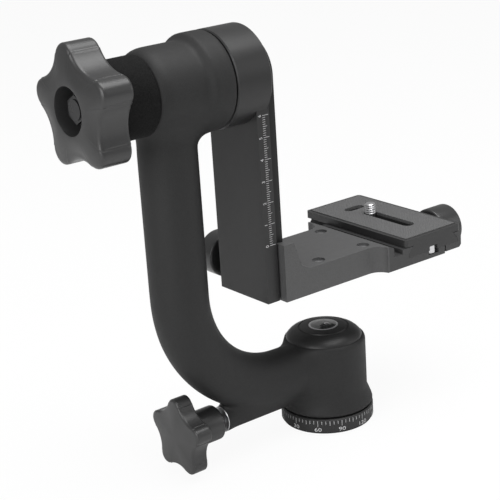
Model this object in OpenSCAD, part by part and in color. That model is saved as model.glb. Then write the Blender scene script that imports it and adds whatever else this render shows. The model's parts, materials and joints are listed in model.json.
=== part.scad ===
// Gimbal tripod head. Millimetres. The pan axis is +Z through the origin, and the
// base stands on Z = 0. The tilt axis runs along X, and the swing arm lies in Y = 0.

/* [Base and pan hub] */
// radius of the degree ring and of the foot of the pan hub
base_r = 25.2; // [22:0.1:30]
// how far the foot of the base stays inside the degree ring
foot_inset = 0.8; // [0.2:0.1:2]
// thickness of the foot under the degree ring
foot_h = 1.2; // [0.8:0.1:3]
// height of the base plate's raised middle
base_h = 6; // [5:0.1:10]
// height of the degree ring's top face
ring_top = 8.3; // [7:0.1:12]
// inside radius of the degree ring
ring_bore_r = 21; // [18:0.1:22]
// height of the pan hub's lower face
hub_bottom = 9.3; // [8.8:0.1:14]
// height where the hub's foot ends and its wall starts
hub_foot_top = 16.5; // [14:0.1:20]
// radius of the pan hub's wall
hub_r = 22.4; // [20:0.1:26]
// height of the pan hub's top face
hub_top = 47.5; // [44:0.1:60]
// bevel on the pan hub's top edge
hub_bevel = 1.2; // [0.4:0.1:2]
// radius of the tripod socket, a 3/8 inch thread
socket_r = 4.7625; // [3.175:0.0001:4.7625]
// depth of the tripod socket above the base plate
socket_extra = 6; // [2:0.1:10]
// thickness of the pan spindle's flange
spindle_flange_h = 2.2; // [1.5:0.1:4]
// radius of the pan spindle's flange
spindle_flange_r = 14; // [12:0.1:16]
// radius of the washer under the pan hub
washer_r = 20.4; // [18:0.1:20.8]
// number of screws through the base plate
base_screw_count = 3; // [3:1:4]
// distance of the base screws from the pan axis
base_screw_at = 10.6; // [9:0.1:12]
// radius of a base screw's head
base_screw_head_r = 2.9; // [2:0.1:3.2]
// radius of a base screw's shank
base_screw_r = 1.5; // [1:0.1:2]
// height of a base screw's cone
base_screw_cone = 1.5; // [1:0.1:2]
// sink of a base screw's head
base_screw_sink = 0.2; // [0.1:0.1:0.5]

/* [Bearings] */
// radius of the pan spindle and of the tilt shaft in their bearings
shaft_r = 8; // [6:0.1:9]
// outside radius of the bearings
bearing_r = 16; // [14:0.1:18]
// width of one bearing
bearing_w = 6.5; // [5:0.1:8]
// thickness of one bearing ring
race_t = 2.6; // [2:0.1:3]
// radius of a bearing ball
ball_r = 2; // [1.5:0.1:2.2]
// number of balls in one bearing
ball_count = 9; // [6:1:12]
// height of the lower pan bearing
pan_bearing_low = 11; // [10.5:0.1:14]
// height of the upper pan bearing
pan_bearing_high = 33; // [28:0.1:36]
// radius of the opening between two bearings
mid_bore_r = 12; // [11:0.1:13]

/* [Cap and bubble level] */
// radius of the cap on the pan hub
cap_r = 20.6; // [18:0.1:22]
// height of the cap's outer edge
cap_edge_h = 0.7; // [0.4:0.1:2]
// radius of the ring groove in the cap
groove_r = 13.6; // [12:0.1:17]
// height of the cap at its ring groove, over the hub
groove_rise = 4.7; // [3:0.1:7]
// width and depth of the ring groove
groove_w = 0.7; // [0.4:0.1:1.2]
// height of the cap's middle, over the hub
cap_rise = 5.9; // [4:0.1:9]
// radius of the spigot under the cap
spigot_r = 17.2; // [16.5:0.1:18]
// length of the spigot under the cap
spigot_h = 3; // [2:0.1:4]
// radius of the bubble level
level_r = 8; // [6:0.1:10]
// wall of the level's cup
level_wall = 1; // [0.6:0.1:2]
// depth of the level's cup
level_depth = 5; // [3:0.1:6]
// rise of the level's window over the cap
window_rise = 0.8; // [0.2:0.1:2]

/* [Swing arm] */
// distance of the arm's upright tube from the pan axis
tube_out = 92; // [85:0.5:110]
// radius of the arm's tube
tube_r = 14.8; // [12:0.1:18]
// height of the tube's level part
tube_z = 33; // [28:0.5:40]
// radius of the bend, on the tube's middle line
bend_r = 62; // [50:0.5:75]
// height of the tilt axis
tilt_z = 200; // [180:1:240]
// place of the barrel's face at the tilt arm, left of the pan axis
barrel_face = 65.5; // [60:0.1:75]
// radius of the barrel's ring at the tilt arm
barrel_ring_r = 24.8; // [22:0.1:28]
// length of that ring
barrel_ring_w = 11.5; // [6:0.1:16]
// length of the slope behind that ring
barrel_slope = 3.5; // [1:0.1:6]
// radius of the barrel behind the ring
barrel_r = 21.8; // [19:0.1:24]
// length of the barrel
barrel_len = 41; // [38:0.1:52]
// length of the barrel's rounded end
barrel_end = 7; // [2:0.1:8]
// radius of the barrel's end face
barrel_end_r = 20; // [18:0.1:22]
// radius of the dark collar on the barrel's end
collar_r = 19.6; // [15:0.1:20]
// gap between the dark collar and the tilt knob's star
collar_gap = 0.6; // [0.3:0.1:6]
// radius of the boss for the pan lock
boss_r = 7; // [5:0.1:9]
// height of the pan lock's axis
lock_z = 21.6; // [20:0.1:26]
// place of the boss's end, left of the pan axis
boss_end = 71.7; // [60:0.1:80]

/* [Pan lock] */
// radius of the pan lock's stud
lock_stud_r = 3; // [2:0.1:4]
// length of the brake pad before the stud
lock_pad_len = 12; // [8:0.1:16]
// radius of the pan knob over its lobes
pan_knob_r = 20.8; // [16:0.1:21]
// thickness of the pan knob's star
pan_knob_t = 10; // [8:0.1:14]
// place of the pan knob's outer face, left of the pan axis
pan_knob_face = 102.4; // [95:0.1:115]
// radius of the pan knob's neck
pan_neck_r = 9.2; // [7:0.1:11]
// place of the neck's inner end, left of the pan axis
pan_neck_end = 76; // [73:0.1:80]

/* [Tilt lock] */
// radius of the tilt knob over its lobes
tilt_knob_r = 31; // [26:0.1:36]
// thickness of the tilt knob's star
tilt_knob_t = 18.3; // [12:0.1:24]
// turn of the tilt knob's first lobe from upright, in degrees
tilt_knob_turn = 6; // [-36:1:36]
// radius of the tilt knob's neck
tilt_neck_r = 13; // [10:0.1:15]
// length of the tilt knob's neck
tilt_neck_len = 4.2; // [2:0.1:8]
// radius of the hole in the tilt knob's face
knob_hole_r = 11.6; // [9:0.1:13]
// depth of the hole in the tilt knob's face
knob_hole_deep = 10; // [6:0.1:13]
// radius of the shaft's thread in the knob
thread_r = 5; // [4:0.1:6]
// outside radius of the knob's threaded bush
bush_r = 8; // [7:0.1:9]
// outside radius of the brake sleeve
sleeve_r = 13.2; // [11:0.1:14]
// length of the brake sleeve
sleeve_len = 15.2; // [10:0.1:16]
// radius of the end nut over its corners
nut_r = 7; // [6:0.1:9]
// thickness of the end nut
nut_t = 4; // [3:0.1:6]
// free travel of the knob before the end nut
knob_free = 2; // [1.9:0.1:3]

/* [Tilt arm] */
// radius of the tilt arm's hub
tilt_hub_r = 24.8; // [22:0.1:28]
// bevel on the hub's outer edge
tilt_hub_bevel = 1.3; // [0.5:0.1:3]
// gap between the barrel and the tilt arm's hub
hub_gap = 0.4; // [0.3:0.1:1]
// place of the arm's right face, left of the pan axis
slab_right = 43.9; // [38:0.1:50]
// thickness of the arm's slab
slab_t = 7.6; // [6:0.1:10]
// width of the arm's slab
slab_w = 38.9; // [32:0.1:46]
// height of the slab's lower end
slab_bottom = 84.8; // [75:0.1:95]
// depth of the shaft in the hub
shaft_seat = 15; // [10:0.1:17]
// thickness of the dovetail rail
rail_t = 5; // [4:0.1:7]
// width of the rail's outer face
rail_w = 35.8; // [30:0.1:38]
// narrowing of the rail at its root, on each side
rail_undercut = 1.5; // [0.5:0.1:3]
// radius of a rail screw's head
rail_screw_head_r = 3; // [2:0.1:4]
// radius of a rail screw's shank
rail_screw_r = 1.7; // [1.2:0.1:2.2]
// sink and thickness of a rail screw's head
rail_screw_head_t = 2.2; // [1.5:0.1:3]
// distance between the rail screws, along the rail
rail_screw_pitch = 30; // [20:0.5:34]
// number of rail screws
rail_screw_count = 4; // [2:1:5]
// height of the lowest rail screw over the slab's end
rail_screw_first = 10; // [6:0.1:20]

/* [Carriage] */
// width of the carriage, along Y
carriage_w = 47.2; // [40:0.1:54]
// thickness of the flange behind the rail
web_t = 2.6; // [2:0.1:5]
// gap between the arm's slab and the carriage
slab_gap = 1.2; // [0.5:0.1:2]
// height of the carriage's lower face
carriage_bottom = 84.4; // [75:0.1:95]
// height of the flange
flange_h = 30.2; // [25:0.1:40]
// thickness of the carriage's level arm
arm_t = 14.2; // [10:0.1:18]
// length of the slope at the flange's foot
foot_len = 10.1; // [6:0.1:14]
// height of the lower end of the flange's slope, over the arm
foot_rise = 2.6; // [1:0.1:4]
// width of the flange's slope
slope_w = 4.6; // [2:0.1:8]
// place of the clamp's left end, right of the pan axis
clamp_left = 22.5; // [18:0.1:30]
// radius of the hollow where the arm widens to the clamp
flare_r = 8; // [6.5:0.1:10]
// length of the widened arm between that hollow and the clamp
flare_land = 0.9; // [0.5:0.1:3]
// distance between the platform screws, along X
platform_screw_dx = 31; // [24:0.1:36]
// distance of the platform screws from the tongue's sides
platform_screw_in = 4; // [3:0.1:6]
// radius of a platform screw's head
platform_head_r = 3.4; // [2.5:0.1:4]
// radius of a platform screw's shank
platform_screw_r = 1.7; // [1.2:0.1:2.2]
// sink of a platform screw's head
platform_sink = 1; // [0.5:0.1:2]
// thickness of a platform screw's head
platform_head_t = 2.2; // [1.5:0.1:3]
// radius of the carriage knob
rear_knob_r = 12; // [9:0.1:15]
// thickness of the carriage knob
rear_knob_t = 11; // [8:0.1:14]
// length of the carriage knob's neck
rear_neck_len = 3; // [2:0.1:5]
// radius of the carriage knob's neck
rear_neck_r = 5; // [4:0.1:7]
// radius of the carriage knob's stud
rear_stud_r = 2; // [1.5:0.1:2.3]
// height of the carriage knob over the carriage's lower face
rear_knob_up = 13; // [12:0.1:18]
// length of the carriage's brake pad
rear_pad_len = 3; // [2:0.1:4]

/* [Clamp] */
// distance of the clamp's near end from the tilt plane
clamp_near = 30; // [26:0.1:36]
// length of the clamp, along Y
clamp_len = 64.5; // [60:0.5:90]
// thickness of the clamp's floor
floor_t = 4.3; // [4:0.1:6]
// place of the floor's right end, right of the pan axis
floor_end = 63.5; // [58:0.1:66]
// width of the clamp's ledge, level with the arm
ledge_w = 3.5; // [2:0.1:6]
// drop of the ledge across its width
ledge_drop = 1.6; // [0.3:0.1:3]
// height of the groove's floor between the ledge and the fixed jaw, over the carriage's lower face
trough_h = 7.6; // [6:0.1:9]
// how far the fixed jaw stands out on the left of the plate's edge
hook_out = 2.5; // [1:0.1:5]
// length of the tongue under the carriage's arm
tongue_len = 44.5; // [38:0.1:46]
// width of that tongue
tongue_w = 42; // [40:0.1:43]
// place of the moving jaw's outer face, right of the plate's edge
jaw_out = 0.4; // [0.2:0.1:8]
// bevel on the moving jaw's outer edges
jaw_bevel = 1.4; // [0.5:0.1:2]
// gap between the clamp's floor and the moving jaw
jaw_gap = 0.8; // [0.5:0.1:2]
// radius of the jaw's guide rods
guide_r = 1.25; // [1:0.05:1.5]
// depth of the guide rods and of the clamp's stud in the clamp's floor
guide_seat = 14; // [10:0.5:18]
// how far the guide rods end inside the moving jaw's outer face
guide_end_in = 3.2; // [1:0.1:6]
// distance of each guide rod from the stop screw's notch or the clamp's end next to it
guide_from_notch = 2.6; // [1.8:0.1:6]
// radius of the clamp's stud
clamp_stud_r = 1.6; // [1.3:0.1:1.8]
// radius of the clamp's knob
clamp_knob_r = 12; // [10:0.1:12]
// length of the clamp's knob
clamp_knob_len = 15; // [10:0.1:18]
// gap between the clamp's knob and the jaw
clamp_knob_gap = 5.1; // [0.5:0.1:8]

/* [Camera plate] */
// width of the camera plate
plate_w = 40.9; // [38:0.1:44]
// length of the camera plate
plate_len = 81.7; // [60:0.1:100]
// place of the plate's left edge, right of the pan axis
plate_left = 34.6; // [30:0.1:40]
// thickness of the plate's top flange
plate_flange_t = 3.9; // [3:0.1:6]
// thickness of the plate
plate_t = 9.85; // [8:0.05:12]
// how far the plate's neck stands in from its edge
neck_in = 5.5; // [4:0.1:7]
// how far the plate's foot stands in from its edge
foot_in = 2; // [1:0.1:4]
// height of the foot's upright edge
foot_edge = 1.45; // [1:0.05:2]
// depth of the pad's recess
pad_deep = 1.2; // [0.6:0.1:2]
// rise of the pad over the plate
pad_rise = 0.4; // [0.1:0.1:1]
// width of the plate's rim around the pad
rim_w = 1.8; // [1:0.1:3]
// groove around the pad
pad_groove = 0.4; // [0.2:0.1:0.8]
// width of the camera screw's slot
slot_w = 6.7; // [6.5:0.1:8]
// distance of the slot's near end from the plate's near end
slot_near_in = 19.9; // [14:0.1:30]
// width of the channel for the screw's head
channel_w = 12.4; // [11.6:0.1:14]
// depth of that channel
channel_deep = 3.3; // [3:0.1:4]
// length of the small cross slot
cross_len = 12.4; // [8:0.1:16]
// width of the small cross slot
cross_w = 4.7; // [3:0.1:6]
// distance of the cross slot from the screw
cross_from_screw = 13.6; // [12:0.1:18]
// radius of a stop screw's head
stop_head_r = 3.4; // [2.5:0.1:3.6]
// how far a stop screw's head stands under the plate
stop_down = 2; // [1:0.1:2.2]
// how far a stop screw's head goes into the plate
stop_in = 2.3; // [1.5:0.1:3]
// radius of a stop screw's shank
stop_r = 1.5; // [1:0.1:2]
// length of a stop screw's shank
stop_len = 3; // [2:0.1:4]
// distance of a stop screw from the plate's end
stop_from_end = 3.8; // [3.6:0.1:6]
// how far the open front of a stop screw's seat is inside the head's edge
stop_hold = 0.5; // [0.3:0.1:1]
// radius of the plate's upright corners
corner_r = 2.4; // [1:0.1:3]
// travel of the plate each way
plate_travel = 4.5; // [2:0.1:6]

/* [Camera screw] */
// radius of the camera screw, a 1/4 inch thread
cam_screw_r = 3.175; // [3.175:0.001:4.7625]
// height of the camera screw over the pad
cam_screw_up = 5.8; // [4:0.1:8]
// distance of the camera screw from the plate's far end
cam_screw_in = 32; // [28:0.1:40]
// radius of the screw's shank below its thread
cam_shank_r = 2.8; // [2.4:0.1:2.9]
// radius of the camera screw's head
cam_head_r = 5.6; // [5:0.1:6]
// thickness of the camera screw's head
cam_head_t = 2.2; // [1.5:0.1:2.4]
// thickness of the washer on that head
cam_washer_t = 0.6; // [0.4:0.1:0.8]

/* [Fits] */
// gap of a turning or sliding fit
run_gap = 0.05; // [0.01:0.01:0.1]
// gap around a part that slides in a slot
slide_gap = 0.15; // [0.05:0.01:0.3]
// gap between faces that pass each other
pass_gap = 0.3; // [0.2:0.05:0.6]
// bevel on small turned edges
edge_bevel = 0.6; // [0.2:0.1:1]
// overrun of every cut
over = 1; // [0.5:0.1:2]

/* [Hidden] */
$fn = 96;
bearing_mid_r = (shaft_r + bearing_r) / 2;
// a star knob's tips and hollows, as shares of its radius and of the tip's
tip_share = 0.22;
hollow_at_share = 1.45;
tip_gap_share = 1.06;
spindle_top = pan_bearing_high + bearing_w;
spindle_flange_top = base_h + spindle_flange_h;
lock_pad_tip = shaft_r + run_gap;
tilt_bearing_right = barrel_face + race_t;
tilt_bearing_left = barrel_face + barrel_len - bearing_w - edge_bevel;
barrel_left = barrel_face + barrel_len;
sleeve_right = barrel_left + run_gap;
sleeve_left = sleeve_right + sleeve_len;
tilt_neck_right = sleeve_left + run_gap;
tilt_star_right = tilt_neck_right + tilt_neck_len;
tilt_face = tilt_star_right + tilt_knob_t;
hole_floor = tilt_face - knob_hole_deep;
nut_right = hole_floor + knob_free;
shaft_end = nut_right + nut_t + edge_bevel;
hub_left = barrel_face - hub_gap;
slab_left = slab_right + slab_t;
rail_right = slab_right - rail_t;
carriage_left = slab_right - slab_gap;
web_right = rail_right - slide_gap - web_t;
carriage_top = carriage_bottom + flange_h;
arm_top = carriage_bottom + arm_t;
floor_top = carriage_bottom + floor_t;
plate_bottom = floor_top + run_gap;
plate_top = plate_bottom + plate_t;
plate_right = plate_left + plate_w;
plate_mid = plate_left + plate_w / 2;
flange_low = plate_top - plate_flange_t;
jaw_top = flange_low - pass_gap;
jaw_tip_in = foot_in + (neck_in - foot_in) * (jaw_top - plate_bottom - foot_edge)
  / (flange_low - plate_bottom - foot_edge);
clamp_far = clamp_len - clamp_near;
plate_far = plate_len - clamp_near;
stop_room = stop_from_end + stop_head_r + plate_travel + pass_gap;
notch_near = -clamp_near + stop_room;
notch_far = plate_far - stop_room;
cam_screw_y = plate_far - cam_screw_in;
slot_travel = plate_len - cam_screw_in - slot_near_in;
foot_z = plate_bottom + foot_edge;
corner_bite = 0.08;
plate_mid_y = (plate_far - clamp_near) / 2;
flare_x = clamp_left - flare_land - flare_r;
guide_far = min(notch_far, clamp_far) - guide_from_notch;
pad_top = plate_top + pad_rise;
channel_top = plate_bottom + channel_deep;
washer_low = channel_top - cam_washer_t - run_gap;
stud_x = rail_right + rail_t / 5;
rear_z = carriage_bottom + rear_knob_up;
rear_pad_near = rail_w / 2 + pass_gap;
clamp_axis_z = carriage_bottom + floor_t / 2;
jaw_left = floor_end + jaw_gap;
jaw_right = plate_right + jaw_out;
clamp_knob_left = jaw_right + clamp_knob_gap;

// ---- shapes used by several pieces ----

// a rod along X; the distances count to the left of the pan axis
module rod_left(near, far, r) {
  translate([-far, 0, 0]) rotate([0, 90, 0]) cylinder(h = far - near, r = r);
}

// a turned piece around the X axis from [radius, x] points
module turned_x(points) {
  rotate([0, 90, 0]) rotate_extrude() polygon(points);
}

// a plate along Y from an outline in X and Z
module along_y(from, to, points) {
  translate([0, to, 0]) rotate([90, 0, 0]) linear_extrude(to - from) polygon(points);
}

// the inner ring of a bearing, standing on Z = 0
module inner_ring() {
  difference() {
    cylinder(h = bearing_w, r = shaft_r + race_t);
    translate([0, 0, -over]) cylinder(h = bearing_w + 2 * over, r = shaft_r);
    ball_path();
  }
}

// the outer ring of a bearing, standing on Z = 0
module outer_ring() {
  difference() {
    cylinder(h = bearing_w, r = bearing_r);
    translate([0, 0, -over]) cylinder(h = bearing_w + 2 * over, r = bearing_r - race_t);
    ball_path();
  }
}

// the groove that the balls run in
module ball_path() {
  translate([0, 0, bearing_w / 2]) rotate_extrude()
    translate([bearing_mid_r, 0]) circle(r = ball_r + run_gap);
}

// the balls of a bearing, standing on Z = 0
module balls() {
  for (i = [0 : ball_count - 1])
    rotate([0, 0, i * 360 / ball_count])
      translate([bearing_mid_r, 0, bearing_w / 2]) sphere(r = ball_r);
}

// both places of the pan bearings
module at_pan_bearings() {
  for (z = [pan_bearing_low, pan_bearing_high]) translate([0, 0, z]) children();
}

// both places of the tilt bearings
module at_tilt_bearings() {
  for (x = [tilt_bearing_right + bearing_w, tilt_bearing_left + bearing_w])
    translate([-x, 0, tilt_z]) rotate([0, 90, 0]) children();
}

// the outline of a five-lobed knob: round tips between round hollows, which nearly touch them
module star(r) {
  tip = r * tip_share;
  out = r - tip;
  at = r * hollow_at_share;
  reach = sqrt(out * out + at * at - 2 * out * at * cos(36));
  meet_x = out + (at * cos(36) - out) * tip / reach;
  meet_y = at * sin(36) * tip / reach;
  difference() {
    circle(r = sqrt(meet_x * meet_x + meet_y * meet_y));
    for (i = [0 : 4]) rotate([0, 0, i * 72 + 36])
      translate([at, 0]) circle(r = reach - tip * tip_gap_share);
  }
  for (i = [0 : 4]) rotate([0, 0, i * 72]) translate([out, 0]) circle(r = tip);
}

// a star knob along X, from x = 0 to the left, with its first lobe at the given turn
module star_knob(r, t, turn) {
  intersection() {
    rotate([0, -90, 0]) rotate([0, 0, turn]) linear_extrude(t) star(r);
    turned_x([[0, 0], [r - edge_bevel, 0], [r, -edge_bevel * 2], [r, -t + t / 5],
      [r - t / 6, -t], [0, -t]]);
  }
}

// ---- base ----

module base_plate() {
  color("#2c2d2f") difference() {
    union() {
      cylinder(h = foot_h, r = base_r - foot_inset);
      cylinder(h = base_h, r = ring_bore_r);
    }
    translate([0, 0, -over]) cylinder(h = base_h + 2 * over, r = socket_r);
    base_screw_shapes(0);
  }
}

module degree_ring() {
  color("#3a3b3d") translate([0, 0, foot_h]) difference() {
    rotate_extrude() polygon([[ring_bore_r, 0], [base_r, 0],
      [base_r, ring_top - foot_h - edge_bevel], [base_r - edge_bevel, ring_top - foot_h],
      [ring_bore_r, ring_top - foot_h]]);
  }
}

module pan_spindle() {
  color("#b9bbbd") difference() {
    union() {
      translate([0, 0, base_h]) cylinder(h = spindle_flange_h, r = spindle_flange_r);
      translate([0, 0, spindle_flange_top])
        cylinder(h = spindle_top - spindle_flange_top, r = shaft_r);
    }
    translate([0, 0, base_h - over]) cylinder(h = socket_extra + over, r = socket_r);
    translate([0, 0, spindle_top - bearing_w * 2]) cylinder(h = bearing_w * 3, r = rail_screw_r);
    base_screw_shapes(0);
  }
}

// the base screws, and with them their holes
module base_screw_shapes(grow) {
  for (i = [0 : base_screw_count - 1]) rotate([0, 0, i * 360 / base_screw_count])
    translate([base_screw_at, 0, 0]) {
      translate([0, 0, base_screw_sink])
        cylinder(h = base_screw_cone, r1 = base_screw_head_r, r2 = base_screw_r);
      translate([0, 0, base_screw_sink + base_screw_cone])
        cylinder(h = base_h + spindle_flange_h / 2 - base_screw_cone, r = base_screw_r);
    }
}

module base_screws() {
  color("#9ea0a3") base_screw_shapes(0);
}

module pan_washer() {
  color("#e8e6df") translate([0, 0, base_h]) difference() {
    cylinder(h = hub_bottom - base_h - run_gap, r = washer_r);
    translate([0, 0, -over])
      cylinder(h = hub_bottom - base_h + 2 * over, r = spindle_flange_r + slide_gap);
  }
}

module pan_bearing_inner() {
  color("#c9cbce") at_pan_bearings() inner_ring();
}

module spindle_screw() {
  color("#8e9093") {
    translate([0, 0, spindle_top]) cylinder(h = edge_bevel * 2, r = shaft_r + edge_bevel);
    translate([0, 0, spindle_top - bearing_w])
      cylinder(h = bearing_w + edge_bevel * 2, r = rail_screw_r);
    translate([0, 0, spindle_top + edge_bevel * 2])
      cylinder(h = rail_screw_head_t, r = rail_screw_head_r);
  }
}

// ---- swing arm ----

module swing_arm() {
  color("#222325") difference() {
    union() {
      pan_hub_outside();
      // level tube, bend and upright tube
      translate([0, 0, tube_z]) rod_left(0, tube_out - bend_r, tube_r);
      translate([-(tube_out - bend_r), 0, tube_z + bend_r]) rotate([90, 0, 0])
        rotate([0, 0, 180]) rotate_extrude(angle = 90)
          translate([bend_r, 0]) circle(r = tube_r);
      translate([-tube_out, 0, tube_z + bend_r])
        cylinder(h = tilt_z - tube_z - bend_r, r = tube_r);
      barrel_outside();
      translate([0, 0, lock_z]) rod_left(0, boss_end, boss_r);
    }
    hub_inside();
    barrel_inside();
    translate([0, 0, lock_z])
      rod_left(shaft_r, boss_end + over, lock_stud_r + run_gap);
  }
}

// the pan hub's turned outside
module pan_hub_outside() {
  rotate_extrude() polygon([[0, hub_bottom], [base_r, hub_bottom],
    [base_r, hub_bottom + edge_bevel * 2], [hub_r + edge_bevel, hub_foot_top],
    [hub_r, hub_foot_top + edge_bevel], [hub_r, hub_top - hub_bevel],
    [hub_r - hub_bevel, hub_top], [0, hub_top]]);
}

// the barrel's turned outside, with its ring, slope and rounded end
module barrel_outside() {
  translate([0, 0, tilt_z]) turned_x([[0, -barrel_face],
    [barrel_ring_r - edge_bevel, -barrel_face],
    [barrel_ring_r, -barrel_face - edge_bevel],
    [barrel_ring_r, -barrel_face - barrel_ring_w],
    [barrel_r, -barrel_face - barrel_ring_w - barrel_slope],
    [barrel_r, -barrel_left + barrel_end],
    [(barrel_r * 2 + barrel_end_r) / 3, -barrel_left + barrel_end / 3],
    [barrel_end_r, -barrel_left], [0, -barrel_left]]);
}

// seats of the pan bearings, the opening between them and the cap's seat
module hub_inside() {
  translate([0, 0, hub_bottom - over])
    cylinder(h = pan_bearing_low + bearing_w - hub_bottom + over, r = bearing_r);
  translate([0, 0, hub_bottom]) cylinder(h = hub_top - hub_bottom, r = mid_bore_r);
  translate([0, 0, pan_bearing_high]) cylinder(h = hub_top, r = bearing_r);
  translate([0, 0, hub_top - spigot_h - pass_gap])
    cylinder(h = spigot_h + pass_gap + over, r = spigot_r + slide_gap);
}

// seats of the tilt bearings and the opening between them
module barrel_inside() {
  translate([0, 0, tilt_z]) {
    rod_left(barrel_face - over, tilt_bearing_right + bearing_w, bearing_r);
    rod_left(tilt_bearing_left, barrel_left + over, bearing_r);
    rod_left(barrel_face, barrel_left, mid_bore_r);
  }
}

module hub_cap() {
  color("#2f3032") translate([0, 0, hub_top]) difference() {
    union() {
      rotate_extrude() polygon([[0, 0], [cap_r, 0], [cap_r, cap_edge_h],
        [(cap_r * 2 + groove_r) / 3, groove_rise * 0.6],
        [groove_r + groove_w, groove_rise], [groove_r, groove_rise - groove_w],
        [groove_r - groove_w, groove_rise], [level_r + level_wall * 2, cap_rise],
        [0, cap_rise]]);
      translate([0, 0, -spigot_h]) cylinder(h = spigot_h + over, r = spigot_r);
    }
    translate([0, 0, cap_rise - level_depth]) cylinder(h = level_depth + over, r = level_r);
    translate([0, 0, -spigot_h - over])
      cylinder(h = spigot_h + over, r = spigot_r - level_wall * 2);
  }
}

module level_cup() {
  color("#c8cacc") translate([0, 0, hub_top + cap_rise - level_depth]) difference() {
    cylinder(h = level_depth, r = level_r);
    translate([0, 0, level_wall]) cylinder(h = level_depth, r = level_r - level_wall);
  }
}

module level_window() {
  color("#dfe6e2") translate([0, 0, hub_top + cap_rise - level_depth + level_wall])
    rotate_extrude() polygon([[0, 0], [level_r - level_wall, 0],
      [level_r - level_wall, level_depth - level_wall],
      [(level_r - level_wall) * 0.6, level_depth - level_wall + window_rise * 0.7],
      [0, level_depth - level_wall + window_rise]]);
}

module pan_bearing_outer() {
  color("#c9cbce") at_pan_bearings() outer_ring();
}

module pan_bearing_balls() {
  color("#dadcde") at_pan_bearings() balls();
}

module tilt_bearing_outer() {
  color("#c9cbce") at_tilt_bearings() outer_ring();
}

module tilt_bearing_balls() {
  color("#dadcde") at_tilt_bearings() balls();
}

module tilt_collar() {
  color("#1a1b1c") translate([0, 0, tilt_z]) difference() {
    rod_left(barrel_left, tilt_star_right - collar_gap, collar_r);
    rod_left(barrel_left - over, tilt_star_right, sleeve_r + pass_gap);
  }
}

// ---- pan lock ----

module pan_lock_pad() {
  color("#b08d4a") translate([0, 0, lock_z])
    rod_left(lock_pad_tip, lock_pad_tip + lock_pad_len, lock_stud_r);
}

module pan_lock_stud() {
  color("#b5b7ba") translate([0, 0, lock_z])
    rod_left(lock_pad_tip + lock_pad_len, pan_knob_face - pan_knob_t / 2, lock_stud_r);
}

module pan_knob() {
  color("#1d1e20") translate([0, 0, lock_z]) difference() {
    union() {
      translate([-(pan_knob_face - pan_knob_t), 0, 0])
        star_knob(pan_knob_r, pan_knob_t, 0);
      rod_left(pan_neck_end, pan_knob_face - pan_knob_t + over, pan_neck_r);
    }
    rod_left(pan_neck_end - over, pan_knob_face - pan_knob_t / 2, lock_stud_r);
  }
}

// ---- tilt lock ----

module tilt_brake_sleeve() {
  color("#a8aaad") translate([0, 0, tilt_z]) difference() {
    rod_left(sleeve_right, sleeve_left, sleeve_r);
    rod_left(sleeve_right - over, sleeve_left + over, shaft_r + pass_gap);
  }
}

module tilt_knob() {
  color("#252628") translate([0, 0, tilt_z]) difference() {
    union() {
      translate([-tilt_star_right, 0, 0]) star_knob(tilt_knob_r, tilt_knob_t, tilt_knob_turn);
      rod_left(tilt_neck_right, tilt_star_right + over, tilt_neck_r);
    }
    rod_left(tilt_neck_right - over, hole_floor + over, bush_r);
    rod_left(hole_floor, tilt_face + over, knob_hole_r);
  }
}

module tilt_knob_bush() {
  color("#b08d4a") translate([0, 0, tilt_z]) difference() {
    rod_left(tilt_neck_right, hole_floor, bush_r);
    rod_left(tilt_neck_right - over, hole_floor + over, thread_r + run_gap);
  }
}

// ---- tilt arm ----

module tilt_arm() {
  color("#8a8c8f") difference() {
    union() {
      translate([0, 0, tilt_z]) turned_x([[0, -hub_left], [tilt_hub_r - edge_bevel, -hub_left],
        [tilt_hub_r, -hub_left + edge_bevel], [tilt_hub_r, -slab_right - tilt_hub_bevel],
        [tilt_hub_r - tilt_hub_bevel, -slab_right], [0, -slab_right]]);
      translate([-slab_left, -slab_w / 2, slab_bottom])
        cube([slab_t, slab_w, tilt_z - slab_bottom]);
    }
    translate([0, 0, tilt_z]) rod_left(hub_left - shaft_seat, hub_left + over, shaft_r);
    rail_screw_shanks();
  }
}

module tilt_shaft() {
  color("#b9bbbd") translate([0, 0, tilt_z]) {
    rod_left(hub_left - shaft_seat, barrel_left, shaft_r);
    rod_left(barrel_left, shaft_end, thread_r);
  }
}

// the rail's solid: a dovetail with a round top on the tilt axis
module tilt_rail() {
  color("#77797c") difference() {
    rail_shape(0, slab_bottom);
    at_rail_screws() {
      cylinder(h = rail_screw_head_t + edge_bevel, r = rail_screw_head_r);
      translate([0, 0, rail_screw_head_t - over])
        cylinder(h = rail_t + 2 * over, r = rail_screw_r);
    }
  }
}

// the dovetail outline drawn from a lower height, with a gap all around
module rail_shape(gap, low) {
  half = rail_w / 2 + gap;
  root = half - rail_undercut;
  translate([0, 0, low]) linear_extrude(tilt_z - low)
    polygon([[-slab_right, -root], [-rail_right + gap, -half],
      [-rail_right + gap, half], [-slab_right, root]]);
  translate([-slab_right, 0, tilt_z]) rotate([0, 90, 0])
    cylinder(h = rail_t + gap, r1 = root, r2 = half);
}

// the rail screws' places, with Z pointing into the arm from the rail's face
module at_rail_screws() {
  for (i = [0 : rail_screw_count - 1])
    translate([-rail_right, 0, slab_bottom + rail_screw_first + i * rail_screw_pitch])
      rotate([0, -90, 0]) children();
}

module rail_screw_shanks() {
  at_rail_screws() translate([0, 0, rail_t - over])
    cylinder(h = slab_t * 0.7 + over, r = rail_screw_r);
}

module rail_screws() {
  color("#9ea0a3") at_rail_screws() {
    translate([0, 0, edge_bevel]) cylinder(h = rail_screw_head_t, r = rail_screw_head_r);
    translate([0, 0, edge_bevel + rail_screw_head_t])
      cylinder(h = rail_t + slab_t * 0.7 - edge_bevel - rail_screw_head_t, r = rail_screw_r);
  }
}

module tilt_bearing_inner() {
  color("#c9cbce") at_tilt_bearings() inner_ring();
}

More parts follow.
